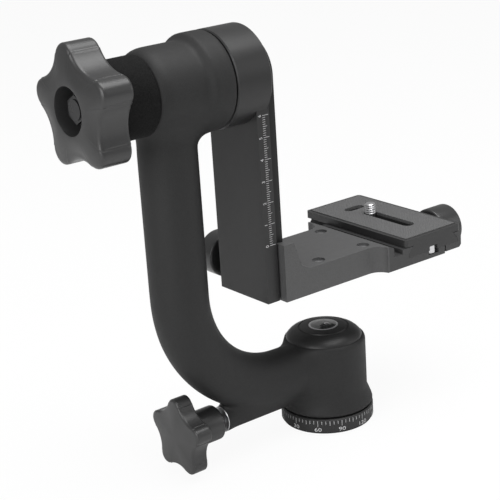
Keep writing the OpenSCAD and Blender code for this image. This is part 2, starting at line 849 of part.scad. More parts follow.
module tilt_end_nut() {
  color("#d2d4d6") translate([-nut_right, 0, tilt_z]) rotate([0, -90, 0]) difference() {
    cylinder(h = nut_t, r = nut_r, $fn = 6);
    translate([0, 0, -over]) cylinder(h = nut_t + 2 * over, r = thread_r);
  }
}

// ---- carriage with the level arm ----

module l_bracket() {
  half = carriage_w / 2;
  color("#9b9da0") difference() {
    union() {
      along_y(-half, half, [[-carriage_left, carriage_bottom], [clamp_left, carriage_bottom],
        [clamp_left, arm_top], [-web_right + foot_len, arm_top],
        [-web_right + slope_w, arm_top + foot_rise], [-web_right, carriage_top],
        [-carriage_left, carriage_top]]);
      // the arm widens to the clamp's length, round a hollow on each side
      difference() {
        translate([flare_x, -clamp_near, carriage_bottom])
          cube([clamp_left - flare_x, clamp_len, arm_t]);
        for (s = [-1, 1]) translate([flare_x, s * (half + flare_r), carriage_bottom - over])
          cylinder(h = arm_t + 2 * over, r = flare_r);
        translate([flare_x - over, half + flare_r, carriage_bottom - over])
          cube([flare_r + over, clamp_len, arm_t + 2 * over]);
      }
    }
    // slot for the rail
    rail_shape(slide_gap, carriage_bottom - over);
    translate([-carriage_left - over, -rail_w / 2 + rail_undercut / 2, carriage_bottom - over])
      cube([over * 2, rail_w - rail_undercut, flange_h + 2 * over]);
    // pocket for the clamp's tongue
    translate([clamp_left - tongue_len - run_gap, -tongue_w / 2 - run_gap, carriage_bottom - over])
      cube([tongue_len + over, tongue_w + 2 * run_gap, floor_t + over]);
    at_platform_screws() {
      translate([0, 0, arm_top - platform_sink - platform_head_t])
        cylinder(h = arm_t, r = platform_head_r);
      translate([0, 0, carriage_bottom]) cylinder(h = arm_t, r = platform_screw_r);
    }
    // bore of the carriage's lock
    translate([-stud_x, 0, rear_z]) rotate([-90, 0, 0])
      cylinder(h = carriage_w, r = rear_stud_r + run_gap);
  }
}

// the four platform screws' places
module at_platform_screws() {
  for (x = [0, platform_screw_dx], s = [-1, 1])
    translate([clamp_left - tongue_len + platform_head_r * 2 + x,
      s * (tongue_w / 2 - platform_screw_in), 0])
      children();
}

module platform_screws() {
  color("#8e9093") at_platform_screws() {
    translate([0, 0, arm_top - platform_sink - platform_head_t])
      cylinder(h = platform_head_t, r = platform_head_r);
    translate([0, 0, carriage_bottom + edge_bevel])
      cylinder(h = arm_t - platform_sink - platform_head_t - edge_bevel, r = platform_screw_r);
  }
}

module clamp_base() {
  color("#6f7174") difference() {
    union() {
      along_y(-clamp_near, clamp_far, [[clamp_left, carriage_bottom],
        [floor_end, carriage_bottom], [floor_end, floor_top],
        [plate_left + foot_in - slide_gap, floor_top],
        [plate_left + foot_in - slide_gap, foot_z],
        [plate_left + jaw_tip_in - slide_gap, jaw_top],
        [plate_left - hook_out, jaw_top], [plate_left - hook_out, carriage_bottom + trough_h],
        [clamp_left + ledge_w, carriage_bottom + trough_h],
        [clamp_left + ledge_w, arm_top - ledge_drop], [clamp_left, arm_top]]);
      translate([clamp_left - tongue_len, -tongue_w / 2, carriage_bottom])
        cube([tongue_len + over, tongue_w, floor_t]);
    }
    // notches for the plate's stop screws
    stop_notch(-clamp_near - over, notch_near);
    if (clamp_far > notch_far) stop_notch(notch_far, clamp_far + over);
    at_platform_screws() translate([0, 0, carriage_bottom - over])
      cylinder(h = floor_t + 2 * over, r = platform_screw_r);
    at_guides() rod_right(-over, guide_seat + over, guide_r);
    translate([floor_end - guide_seat, 0, clamp_axis_z])
      rod_right(0, guide_seat + over, clamp_stud_r + run_gap);
  }
}

// a notch for one stop screw, along Y
module stop_notch(from, to) {
  translate([plate_mid - stop_head_r - pass_gap, from, floor_top - stop_down - pass_gap])
    cube([2 * (stop_head_r + pass_gap), to - from, stop_down + pass_gap + over]);
}

// a rod along X, to the right of its place
module rod_right(near, far, r) {
  translate([near, 0, 0]) rotate([0, 90, 0]) cylinder(h = far - near, r = r);
}

// the two guide rods' places, at the left end of each rod
module at_guides() {
  for (y = [notch_near + guide_from_notch, guide_far])
    translate([floor_end - guide_seat, y, clamp_axis_z]) children();
}

module jaw_guides() {
  color("#c2c4c6") at_guides()
    rod_right(0, jaw_right - guide_end_in - floor_end + guide_seat, guide_r);
}

// ---- carriage lock ----

module carriage_pad() {
  color("#b08d4a") translate([-stud_x, rear_pad_near, rear_z]) rotate([-90, 0, 0])
    cylinder(h = rear_pad_len, r = rear_stud_r);
}

module carriage_stud() {
  color("#b5b7ba") translate([-stud_x, rear_pad_near + rear_pad_len, rear_z])
    rotate([-90, 0, 0])
      cylinder(h = rear_knob_inner() + rear_knob_t * 0.7 - rear_pad_near - rear_pad_len,
        r = rear_stud_r);
}

// distance of the carriage knob's star from the tilt plane
function rear_knob_inner() = carriage_w / 2 + pass_gap * 2 + rear_neck_len;

module carriage_knob() {
  color("#1d1e20") translate([-stud_x, 0, rear_z]) rotate([-90, 0, 0]) difference() {
    union() {
      translate([0, 0, rear_knob_inner()]) rotate_extrude() polygon([[0, 0],
        [rear_knob_r - edge_bevel, 0], [rear_knob_r, edge_bevel],
        [rear_knob_r, rear_knob_t - edge_bevel * 2], [rear_knob_r - edge_bevel * 2, rear_knob_t],
        [0, rear_knob_t]]);
      translate([0, 0, rear_knob_inner() - rear_neck_len])
        cylinder(h = rear_neck_len + over, r = rear_neck_r);
    }
    translate([0, 0, carriage_w / 2]) cylinder(h = rear_knob_inner() + rear_knob_t * 0.7
      - carriage_w / 2, r = rear_stud_r);
  }
}

// ---- moving jaw of the clamp ----

module clamp_jaw() {
  color("#6f7174") difference() {
    along_y(-clamp_near, clamp_far, [[jaw_left, carriage_bottom + jaw_gap],
      [jaw_right - jaw_bevel, carriage_bottom + jaw_gap],
      [jaw_right, carriage_bottom + jaw_gap + jaw_bevel], [jaw_right, jaw_top - jaw_bevel],
      [jaw_right - jaw_bevel, jaw_top], [plate_right - jaw_tip_in + slide_gap, jaw_top],
      [plate_right - foot_in + slide_gap, foot_z],
      [plate_right - foot_in + slide_gap, floor_top], [jaw_left, floor_top]]);
    at_guides()
      rod_right(0, jaw_right - floor_end + guide_seat + over, guide_r + run_gap);
    translate([jaw_left - over, 0, clamp_axis_z])
      rod_right(0, jaw_right - jaw_left + 2 * over, clamp_stud_r + run_gap);
  }
}

module clamp_stud() {
  color("#b5b7ba") translate([floor_end - guide_seat + over, 0, clamp_axis_z])
    rod_right(0, clamp_knob_left + clamp_knob_len * 0.6 - floor_end + guide_seat - over,
      clamp_stud_r);
}

module clamp_knob() {
  color("#1d1e20") translate([clamp_knob_left, 0, clamp_axis_z]) difference() {
    union() {
      turned_x([[0, 0], [clamp_knob_r - edge_bevel, 0], [clamp_knob_r, edge_bevel],
        [clamp_knob_r, clamp_knob_len - edge_bevel * 2],
        [clamp_knob_r - edge_bevel * 2, clamp_knob_len], [0, clamp_knob_len]]);
      rod_right(-clamp_knob_gap + run_gap, over, rear_neck_r);
    }
    rod_right(-clamp_knob_gap, clamp_knob_len * 0.6, clamp_stud_r);
  }
}

// ---- camera plate ----

module plate_body() {
  near = -clamp_near;
  far = plate_far;
  color("#5f6163") difference() {
    along_y(near, far, [[plate_left, flange_low], [plate_left, plate_top],
      [plate_right, plate_top], [plate_right, flange_low],
      [plate_right - neck_in, flange_low], [plate_right - foot_in, foot_z],
      [plate_right - foot_in, plate_bottom], [plate_left + foot_in, plate_bottom],
      [plate_left + foot_in, foot_z], [plate_left + neck_in, flange_low]]);
    // recess for the pad
    translate([plate_left + rim_w, near + rim_w, plate_top - pad_deep])
      cube([plate_w - 2 * rim_w, plate_len - 2 * rim_w, pad_deep + over]);
    plate_slots(0);
    plate_corners();
    // channel for the screw's head, and the stop screws' seats, open at the plate's ends
    long_slot(channel_w, plate_bottom - over, channel_top);
    at_stop_screws() {
      translate([0, 0, plate_bottom - over]) cylinder(h = stop_in + over, r = stop_head_r);
      translate([0, 0, plate_bottom]) cylinder(h = stop_in + stop_len, r = stop_r);
      translate([stop_hold - stop_head_r, -stop_from_end - over, plate_bottom - over])
        cube([2 * (stop_head_r - stop_hold), 2 * (stop_from_end + over), stop_in + over]);
    }
  }
}

// what is cut off at the plate's upright corners
module plate_corners() {
  in = corner_r - corner_bite;
  for (sx = [-1, 1]) for (sy = [-1, 1])
    translate([plate_mid + sx * (plate_w / 2 - in), plate_mid_y + sy * (plate_len / 2 - in),
      plate_bottom - over]) difference() {
        translate([sx > 0 ? 0 : -corner_r - over, sy > 0 ? 0 : -corner_r - over, 0])
          cube([corner_r + over, corner_r + over, plate_top - plate_bottom + 2 * over]);
        translate([0, 0, -over])
          cylinder(h = plate_top - plate_bottom + 4 * over, r = corner_r);
      }
}

// a slot along Y with round ends, for every place of the camera screw
module long_slot(w, low, high) {
  for (y = [cam_screw_y, cam_screw_y - slot_travel])
    translate([plate_mid, y, low]) cylinder(h = high - low, r = w / 2);
  translate([plate_mid - w / 2, cam_screw_y - slot_travel, low])
    cube([w, slot_travel, high - low]);
}

// the long slot and the small cross slot
module plate_slots(grow) {
  long_slot(slot_w + grow, plate_bottom - over, pad_top + over);
  r = cross_w / 2 + grow;
  y = cam_screw_y + cross_from_screw;
  reach = cross_len / 2 - cross_w / 2;
  for (s = [-1, 1]) translate([plate_mid + s * reach, y, plate_bottom - over])
    cylinder(h = plate_t + pad_rise + 2 * over, r = r);
  translate([plate_mid - reach, y - r, plate_bottom - over])
    cube([2 * reach, 2 * r, plate_t + pad_rise + 2 * over]);
}

// the stop screws' places, one near each end of the plate
module at_stop_screws() {
  for (y = [-clamp_near + stop_from_end, plate_far - stop_from_end])
    translate([plate_mid, y, 0]) children();
}

module plate_pad() {
  edge = rim_w + pad_groove;
  color("#3a3a3a") difference() {
    translate([plate_left + edge, -clamp_near + edge, plate_top - pad_deep])
      cube([plate_w - 2 * edge, plate_len - 2 * edge, pad_deep + pad_rise]);
    plate_slots(pad_groove);
  }
}

module stop_screws() {
  color("#cfd1d3") at_stop_screws() {
    translate([0, 0, plate_bottom - stop_down])
      cylinder(h = stop_down + stop_in, r = stop_head_r);
    translate([0, 0, plate_bottom + stop_in]) cylinder(h = stop_len, r = stop_r);
  }
}

module screw_washer() {
  color("#c2c4c6") translate([plate_mid, cam_screw_y, washer_low]) difference() {
    cylinder(h = cam_washer_t, r = cam_head_r);
    translate([0, 0, -over]) cylinder(h = cam_washer_t + 2 * over, r = cam_shank_r + run_gap);
  }
}

module camera_screw() {
  color("#d8dadc") translate([plate_mid, cam_screw_y, 0]) {
    translate([0, 0, washer_low - run_gap - cam_head_t]) cylinder(h = cam_head_t, r = cam_head_r);
    translate([0, 0, washer_low - run_gap])
      cylinder(h = pad_top + pass_gap - washer_low + run_gap, r = cam_shank_r);
    translate([0, 0, pad_top + pass_gap])
      cylinder(h = cam_screw_up - pass_gap - edge_bevel, r = cam_screw_r);
    translate([0, 0, pad_top + cam_screw_up - edge_bevel])
      cylinder(h = edge_bevel, r1 = cam_screw_r, r2 = cam_screw_r - edge_bevel);
  }
}

base_plate();
degree_ring();
pan_spindle();
base_screws();
pan_washer();
pan_bearing_inner();
spindle_screw();
swing_arm();
hub_cap();
level_cup();
level_window();
pan_bearing_outer();
pan_bearing_balls();
tilt_bearing_outer();
tilt_bearing_balls();
tilt_collar();
pan_lock_pad();
pan_lock_stud();
pan_knob();
tilt_brake_sleeve();
tilt_knob();
tilt_knob_bush();
tilt_arm();
tilt_shaft();
tilt_rail();
rail_screws();
tilt_bearing_inner();
tilt_end_nut();
l_bracket();
clamp_base();
platform_screws();
jaw_guides();
carriage_pad();
carriage_stud();
carriage_knob();
clamp_jaw();
clamp_stud();
clamp_knob();
plate_body();
plate_pad();
stop_screws();
screw_washer();
camera_screw();
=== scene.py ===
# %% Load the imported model
import json
import math

import bmesh
import bpy
import numpy as np
from mathutils import Matrix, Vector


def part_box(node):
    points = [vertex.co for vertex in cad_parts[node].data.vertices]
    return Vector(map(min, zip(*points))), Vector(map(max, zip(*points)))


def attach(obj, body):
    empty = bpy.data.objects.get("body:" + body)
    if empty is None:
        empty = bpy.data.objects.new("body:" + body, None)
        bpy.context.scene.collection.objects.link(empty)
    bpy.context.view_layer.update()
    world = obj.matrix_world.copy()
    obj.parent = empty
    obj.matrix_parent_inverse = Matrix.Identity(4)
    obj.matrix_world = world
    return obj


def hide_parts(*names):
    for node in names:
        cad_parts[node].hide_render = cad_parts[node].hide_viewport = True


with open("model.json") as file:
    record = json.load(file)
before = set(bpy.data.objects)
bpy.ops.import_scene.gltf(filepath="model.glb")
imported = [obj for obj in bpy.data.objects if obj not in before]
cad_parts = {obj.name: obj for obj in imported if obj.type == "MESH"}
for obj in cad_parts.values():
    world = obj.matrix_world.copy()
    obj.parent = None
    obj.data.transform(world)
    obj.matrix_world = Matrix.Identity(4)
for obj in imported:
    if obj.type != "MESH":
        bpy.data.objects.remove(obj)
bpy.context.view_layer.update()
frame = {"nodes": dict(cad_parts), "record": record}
nodes = frame["nodes"]
MM = 0.001

# %% [markdown]
# The photograph was taken with a long lens from the left front, a little above the head. The
# camera's place and turn come from the corners of the plate, the arm and the base, matched to
# the solids. Its focal length is given in picture points first and then as a lens.

# %% Camera
AZIMUTH, ELEVATION, ROLL = math.radians(-37.098), math.radians(18.923), math.radians(-3.759)
FOCAL_POINTS, PICTURE = 1471.8, 500
AIM = np.array([0.0, 0.0, 0.1093])
AIM_SEEN = np.array([0.03608, 0.01264, -0.77755])


def camera_axes(azimuth, elevation, roll):
    """Rows are the camera's right, up and back directions: back looks from the aim to the
    camera, right is level, up is back cross right, and roll turns right and up in the picture."""
    back = np.array([math.sin(azimuth) * math.cos(elevation),
                     -math.cos(azimuth) * math.cos(elevation), math.sin(elevation)])
    right = np.array([math.cos(azimuth), math.sin(azimuth), 0.0])
    up = np.cross(back, right)
    c, s = math.cos(roll), math.sin(roll)
    return np.array([c * right + s * up, -s * right + c * up, back])


axes = camera_axes(AZIMUTH, ELEVATION, ROLL)
place = AIM - axes.T @ AIM_SEEN
lens = bpy.data.cameras.new("camera")
lens.sensor_width = 36.0
lens.lens = FOCAL_POINTS / PICTURE * lens.sensor_width
camera = bpy.data.objects.new("camera", lens)
bpy.context.scene.collection.objects.link(camera)
camera.matrix_world = Matrix([[*axes[:, i], place[i]] for i in range(3)] + [[0, 0, 0, 1]])
bpy.context.scene.camera = camera
print("camera at", np.round(place, 3), "lens", round(lens.lens, 1), "mm")

# %% [markdown]
# The studio is a white room: a pale floor, a white world, and large lamps above and to the
# left, so that the black paint shows soft grey sheens instead of hard spots. Small hard lamps
# would be simpler, but they leave bright dots on every rounded edge.

# %% Floor, world and lamps
scene = bpy.context.scene
scene.view_settings.view_transform = "Standard"
WHITE_SHARE = 0.93      # of the floor is plain white to the camera, the rest keeps the shadow
ROOM_LIGHT = 0.36       # the world's strength on the object


def floor_material():
    """White to the camera, pale to everything else, with a little of the shadow kept."""
    m = bpy.data.materials.new("studio_floor")
    m.use_nodes = True
    t = m.node_tree
    t.nodes.clear()
    out = t.nodes.new("ShaderNodeOutputMaterial")
    mix = t.nodes.new("ShaderNodeMixShader")
    pale = t.nodes.new("ShaderNodeBsdfDiffuse")
    pale.inputs["Color"].default_value = (0.8, 0.8, 0.8, 1)
    glow = t.nodes.new("ShaderNodeEmission")
    glow.inputs["Color"].default_value = (1, 1, 1, 1)
    ray = t.nodes.new("ShaderNodeLightPath")
    share = t.nodes.new("ShaderNodeMath")
    share.operation = "MULTIPLY"
    share.inputs[1].default_value = WHITE_SHARE
    t.links.new(ray.outputs["Is Camera Ray"], share.inputs[0])
    t.links.new(share.outputs[0], mix.inputs[0])
    t.links.new(pale.outputs[0], mix.inputs[1])
    t.links.new(glow.outputs[0], mix.inputs[2])
    t.links.new(mix.outputs[0], out.inputs["Surface"])
    return m


floor_mesh = bpy.data.meshes.new("floor")
FLOOR_HALF, FLOOR_Z = 4.0, -0.0004
floor_mesh.from_pydata([(-FLOOR_HALF, -FLOOR_HALF, FLOOR_Z), (FLOOR_HALF, -FLOOR_HALF, FLOOR_Z),
                        (FLOOR_HALF, FLOOR_HALF, FLOOR_Z), (-FLOOR_HALF, FLOOR_HALF, FLOOR_Z)],
                       [], [(0, 1, 2, 3)])
floor = bpy.data.objects.new("floor", floor_mesh)
floor_mesh.materials.append(floor_material())
scene.collection.objects.link(floor)

world = bpy.data.worlds.new("studio")
scene.world = world
world.use_nodes = True
wt = world.node_tree
wt.nodes.clear()
w_out = wt.nodes.new("ShaderNodeOutputWorld")
w_mix = wt.nodes.new("ShaderNodeMixShader")
w_ray = wt.nodes.new("ShaderNodeLightPath")
w_dim, w_white = wt.nodes.new("ShaderNodeBackground"), wt.nodes.new("ShaderNodeBackground")
w_dim.inputs["Color"].default_value = (1, 1, 1, 1)
w_dim.inputs["Strength"].default_value = ROOM_LIGHT
w_white.inputs["Color"].default_value = (1, 1, 1, 1)
w_white.inputs["Strength"].default_value = 1.0
wt.links.new(w_ray.outputs["Is Camera Ray"], w_mix.inputs[0])
wt.links.new(w_dim.outputs[0], w_mix.inputs[1])
wt.links.new(w_white.outputs[0], w_mix.inputs[2])
wt.links.new(w_mix.outputs[0], w_out.inputs["Surface"])


def soft_lamp(name, place, aim, size, watts):
    """A square area lamp at place, turned so that its -Z looks at aim."""
    data = bpy.data.lights.new(name, "AREA")
    data.shape, data.size, data.energy = "SQUARE", size, watts
    lamp = bpy.data.objects.new(name, data)
    scene.collection.objects.link(lamp)
    back = np.array(place) - np.array(aim)
    back = back / np.linalg.norm(back)
    side = np.cross([0, 0, 1.0], back)
    side = side / np.linalg.norm(side)
    up = np.cross(back, side)
    lamp.matrix_world = Matrix([[side[i], up[i], back[i], place[i]] for i in range(3)]
                               + [[0, 0, 0, 1]])
    return lamp


LAMPS = {   # name: place, aim, size in metres, watts
    "lamp_above": ((0.1, -0.15, 1.1), (0, 0, 0.1), 0.9, 12),
    "lamp_left": ((-1.1, -0.35, 0.55), (0, 0, 0.12), 0.8, 8),
    "lamp_right": ((0.9, -0.8, 0.5), (0, 0, 0.1), 0.6, 1.8),
}
for name, values in LAMPS.items():
    soft_lamp(name, *values)
print("studio ready, lamps:", len(LAMPS))

# %% [markdown]
# Painted metal, moulded plastic and bare metal differ mostly in roughness and in their finest
# relief. One helper builds them all from Blender's Principled shader: a noise pattern on Object
# coordinates varies the colour and the roughness a little, and a finer one gives the relief.

# %% Finishes
def finish(name, colour, rough, metal=0.0, grain=1200.0, relief=0.08, speckle=0.15,
           coat=0.0, stretch=(1, 1, 1), gloss=0.5):
    """A procedural finish: colour times (1 +- speckle * noise), roughness +- a little, and a
    bump from a noise of the given grain per metre, relief thick."""
    m = bpy.data.materials.new(name)
    m.use_nodes = True
    t = m.node_tree
    shader = t.nodes["Principled BSDF"]
    where = t.nodes.new("ShaderNodeTexCoord")
    turn = t.nodes.new("ShaderNodeMapping")
    turn.inputs["Scale"].default_value = stretch
    t.links.new(where.outputs["Object"], turn.inputs["Vector"])
    coarse, fine = t.nodes.new("ShaderNodeTexNoise"), t.nodes.new("ShaderNodeTexNoise")
    coarse.inputs["Scale"].default_value = grain / 8
    coarse.inputs["Detail"].default_value = 6
    fine.inputs["Scale"].default_value = grain
    fine.inputs["Detail"].default_value = 3
    for n in (coarse, fine):
        t.links.new(turn.outputs["Vector"], n.inputs["Vector"])
    ramp = t.nodes.new("ShaderNodeValToRGB")
    low = [c * (1 - speckle) for c in colour]
    high = [min(1.0, c * (1 + speckle)) for c in colour]
    ramp.color_ramp.elements[0].position = 0.3
    ramp.color_ramp.elements[0].color = (*low, 1)
    ramp.color_ramp.elements[1].position = 0.7
    ramp.color_ramp.elements[1].color = (*high, 1)
    t.links.new(fine.outputs["Fac"], ramp.inputs["Fac"])
    t.links.new(ramp.outputs["Color"], shader.inputs["Base Color"])
    span = t.nodes.new("ShaderNodeMapRange")
    span.inputs["To Min"].default_value = max(0.02, rough - 0.06)
    span.inputs["To Max"].default_value = min(1.0, rough + 0.06)
    t.links.new(coarse.outputs["Fac"], span.inputs["Value"])
    t.links.new(span.outputs["Result"], shader.inputs["Roughness"])
    bump = t.nodes.new("ShaderNodeBump")
    bump.inputs["Strength"].default_value = 0.6
    bump.inputs["Distance"].default_value = relief * MM
    t.links.new(fine.outputs["Fac"], bump.inputs["Height"])
    t.links.new(bump.outputs["Normal"], shader.inputs["Normal"])
    shader.inputs["Metallic"].default_value = metal
    shader.inputs["Coat Weight"].default_value = coat
    shader.inputs["Specular IOR Level"].default_value = gloss
    return m


def grey(level):
    """A neutral colour from a picture grey of 0 to 255."""
    v = ((level / 255 + 0.055) / 1.055) ** 2.4
    return (v, v, v * 1.01)


FINISHES = {
    "casting": finish("casting_paint", grey(34), 0.6, grain=2600, relief=0.05, speckle=0.22,
                      gloss=0.3),
    "base_black": finish("base_paint", grey(40), 0.5, grain=2200, relief=0.02, gloss=0.35),
    "cap": finish("cap_paint", grey(34), 0.42, grain=2000, relief=0.02, speckle=0.08, gloss=0.35),
    "collar": finish("collar_foam", grey(14), 0.9, grain=1500, relief=0.3, speckle=0.8,
                     gloss=0.2),
    "arm_metal": finish("arm_paint", grey(38), 0.4, grain=2400, relief=0.015, speckle=0.08,
                        gloss=0.35),
    "rail": finish("rail_paint", grey(34), 0.45, grain=2400, relief=0.015, speckle=0.08, gloss=0.3),
    "bracket": finish("bracket_paint", grey(74), 0.42, grain=2400, relief=0.02, gloss=0.35),
    "clamp_metal": finish("clamp_paint", grey(58), 0.42, grain=2400, relief=0.015, gloss=0.35),
    "plate_metal": finish("plate_paint", grey(48), 0.4, grain=2400, relief=0.01, gloss=0.35),
    "knob_plastic": finish("knob_plastic", grey(46), 0.34, grain=1800, relief=0.02, speckle=0.08),
    "steel": finish("turned_steel", (0.52, 0.52, 0.53), 0.3, 1.0, 900, 0.01, 0.1,
                    stretch=(0.1, 1, 1)),
    "dark_steel": finish("black_oxide", (0.012, 0.012, 0.013), 0.28, 0.0, 900, 0.01, 0.1),
    "bright_steel": finish("bright_steel", (0.62, 0.62, 0.63), 0.3, 1.0, 900, 0.004, 0.05),
    "bearing_steel": finish("bearing_steel", (0.72, 0.72, 0.74), 0.1, 1.0, 900, 0.002, 0.03),
    "level_metal": finish("level_metal", (0.6, 0.6, 0.61), 0.3, 1.0, 1200, 0.005, 0.05),
    "brass": finish("turned_brass", (0.62, 0.46, 0.2), 0.28, 1.0, 900, 0.01, 0.1),
    "washer_plastic": finish("washer_plastic", (0.78, 0.77, 0.73), 0.5, 0.0, 900, 0.01, 0.05),
}
print("finishes:", len(FINISHES))

# %% [markdown]
# Two surfaces need a pattern of their own. The pad is rubber with a fine net of crossed grooves,
# so its relief is the lower of two sine waves that run at right angles. The level's window is
# clear plastic over a dark liquid, so it is a dark, very smooth coat.

# %% Pad and window finishes
def pad_finish():
    """Rubber whose relief is the smaller of sin(k(x+y)) and sin(k(x-y)): a net of grooves."""
    m = finish("pad_rubber", grey(100), 0.7, grain=3000, relief=0.03, speckle=0.12)
    t = m.node_tree
    where = t.nodes.new("ShaderNodeTexCoord")
    parts = t.nodes.new("ShaderNodeSeparateXYZ")
    t.links.new(where.outputs["Object"], parts.inputs[0])
    waves = []
    for sign in ("ADD", "SUBTRACT"):
        along = t.nodes.new("ShaderNodeMath")
        along.operation = sign
        t.links.new(parts.outputs["X"], along.inputs[0])
        t.links.new(parts.outputs["Y"], along.inputs[1])
        scale = t.nodes.new("ShaderNodeMath")
        scale.operation = "MULTIPLY"
        scale.inputs[1].default_value = 2 * math.pi / (1.25 * MM)
        t.links.new(along.outputs[0], scale.inputs[0])
        sine = t.nodes.new("ShaderNodeMath")
        sine.operation = "SINE"
        t.links.new(scale.outputs[0], sine.inputs[0])
        waves.append(sine)
    low = t.nodes.new("ShaderNodeMath")
    low.operation = "MINIMUM"
    t.links.new(waves[0].outputs[0], low.inputs[0])
    t.links.new(waves[1].outputs[0], low.inputs[1])
    net = t.nodes.new("ShaderNodeBump")
    net.inputs["Strength"].default_value = 0.7
    net.inputs["Distance"].default_value = 0.6 * MM
    t.links.new(low.outputs[0], net.inputs["Height"])
    grain_bump = next(n for n in t.nodes if n.type == "BUMP" and n is not net
                      and n.outputs[0].links)
    t.links.new(grain_bump.outputs["Normal"], net.inputs["Normal"])
    t.links.new(net.outputs["Normal"], t.nodes["Principled BSDF"].inputs["Normal"])
    return m


FINISHES["pad_rubber"] = pad_finish()
FINISHES["level_glass"] = finish("level_window", (0.02, 0.022, 0.022), 0.06, 0.0, 600, 0.002,
                                 0.25, coat=0.8)
PRINT = finish("scale_print", grey(196), 0.6, grain=2000, relief=0.005, speckle=0.1)
slot_of = {s["node"]: s["material_slot"] for s in frame["record"]["subparts"]}
for name, node in nodes.items():
    node.data.materials.clear()
    node.data.materials.append(FINISHES[slot_of[name]])
nodes["tilt_shaft"].data.materials[0] = FINISHES["dark_steel"]
print("dressed", len(slot_of), "nodes")

# %% [markdown]
# The next helpers turn whole arrays of points into meshes. A surface is a grid of points with
# rows along a profile and columns around it. Rings that end on the axis are closed by merging.

# %% Mesh helpers
def grid_faces(rows, columns):
    """Four-sided faces between neighbouring rows and columns; the columns close on themselves."""
    r = np.arange(rows - 1)[:, None]
    c = np.arange(columns)[None, :]
    r2, c2 = (r + 1) % rows, (c + 1) % columns
    quads = np.stack([r * columns + c, r * columns + c2, r2 * columns + c2,
                      r2 * columns + c], axis=-1)
    return quads.reshape(-1, 4)


def surface(name, points, smooth=True, angle=35.0):
    """A mesh object from a grid of points, rows x columns x 3, in millimetres; doubles are merged
    and the faces turned outwards."""
    rows, columns = points.shape[:2]
    mesh = bpy.data.meshes.new(name)
    mesh.from_pydata((points.reshape(-1, 3) * MM).tolist(), [],
                     grid_faces(rows, columns).tolist())
    return finished(name, mesh, smooth, angle)


def finished(name, mesh, smooth=True, angle=35.0):
    """Merges doubles, drops flat faces, turns faces outwards and links the object."""
    b = bmesh.new()
    b.from_mesh(mesh)
    bmesh.ops.remove_doubles(b, verts=b.verts, dist=1e-6)
    bmesh.ops.dissolve_degenerate(b, edges=b.edges, dist=1e-7)
    bmesh.ops.recalc_face_normals(b, faces=b.faces)
    b.to_mesh(mesh)
    b.free()
    mesh.validate()
    obj = bpy.data.objects.new(name, mesh)
    scene.collection.objects.link(obj)
    mesh.polygons.foreach_set("use_smooth", np.full(len(mesh.polygons), smooth))
    if smooth:
        mesh.set_sharp_from_angle(angle=math.radians(angle))
    return obj


def turned(name, profile, centre, axis="Z", around=128):
    """A turned piece: each (radius, height) of the profile is carried once around the axis."""
    p = np.array(profile, float)
    a = np.linspace(0, 2 * np.pi, around, endpoint=False)
    radius = np.repeat(p[:, :1], around, axis=1)
    height = np.repeat(p[:, 1:], around, axis=1)
    u, v = radius * np.cos(a), radius * np.sin(a)
    order = {"Z": (u, v, height), "X": (height, u, v), "Y": (v, height, u)}[axis]
    return surface(name, np.stack(order, axis=-1) + np.array(centre, float))


def rounded(points, radius, steps=6):
    """The profile with each inner corner replaced by an arc-like curve of about that radius:
    points of a quadratic curve from before the corner to after it."""
    pts = [np.array(p, float) for p in points]
    out = [pts[0]]
    for before, corner, after in zip(pts[:-2], pts[1:-1], pts[2:]):
        reach_a = min(radius, np.linalg.norm(before - corner) * 0.49)
        reach_b = min(radius, np.linalg.norm(after - corner) * 0.49)
        start = corner + (before - corner) / np.linalg.norm(before - corner) * reach_a
        end = corner + (after - corner) / np.linalg.norm(after - corner) * reach_b
        s = np.linspace(0, 1, steps)[:, None]
        out += list((1 - s) ** 2 * start + 2 * s * (1 - s) * corner + s ** 2 * end)
    return out + [pts[-1]]


def dress(piece, slot, body, *replaced):
    """Gives a piece its finish and its body, and hides the nodes that it stands for."""
    piece.data.materials.clear()
    piece.data.materials.append(FINISHES[slot])
    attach(piece, body)
    if replaced:
        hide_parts(*replaced)
    return piece


def box_mm(node):
    """Lowest and highest corner of a solid, in millimetres."""
    low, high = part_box(node)
    return np.array(low) / MM, np.array(high) / MM


# %% [markdown]
# The swing arm is one casting, so its tube, barrel, hub and lock boss flow into each other. The
# solid has them as plain shapes that cut each other. A copy of it is rebuilt as an even skin,
# and then only the skin near those joins is relaxed, many times, until fillets form.

# %% Swing arm
def even_skin(node, name, voxel):
    """A copy of a solid's mesh, merged and rebuilt with faces of one size."""
    source = nodes[node]
    mesh = source.data.copy()
    mesh.name = name
    b = bmesh.new()
    b.from_mesh(mesh)
    bmesh.ops.remove_doubles(b, verts=b.verts, dist=1e-6)
    b.to_mesh(mesh)
    b.free()
    obj = bpy.data.objects.new(name, mesh)
    scene.collection.objects.link(obj)
    remesh = obj.modifiers.new("skin", "REMESH")
    remesh.mode, remesh.voxel_size = "VOXEL", voxel
    made = bpy.data.meshes.new_from_object(obj.evaluated_get(bpy.context.evaluated_depsgraph_get()))
    obj.modifiers.clear()
    obj.data = made
    return obj


def relax(mesh, weight, rounds):
    """Each round moves a point by its weight towards the mean of its neighbours."""
    count = len(mesh.vertices)
    co = np.empty(count * 3)
    mesh.vertices.foreach_get("co", co)
    co = co.reshape(-1, 3)
    ends = np.empty(len(mesh.edges) * 2, int)
    mesh.edges.foreach_get("vertices", ends)
    a, b = ends[0::2], ends[1::2]
    near = np.bincount(a, minlength=count) + np.bincount(b, minlength=count)
    share = (weight / np.maximum(near, 1))[:, None]
    for _ in range(rounds):
        total = np.stack([np.bincount(a, co[b, k], count) + np.bincount(b, co[a, k], count)
                          for k in range(3)], axis=1)
        co = co + share * (total - near[:, None] * co)
    mesh.vertices.foreach_set("co", co.ravel())
    mesh.update()


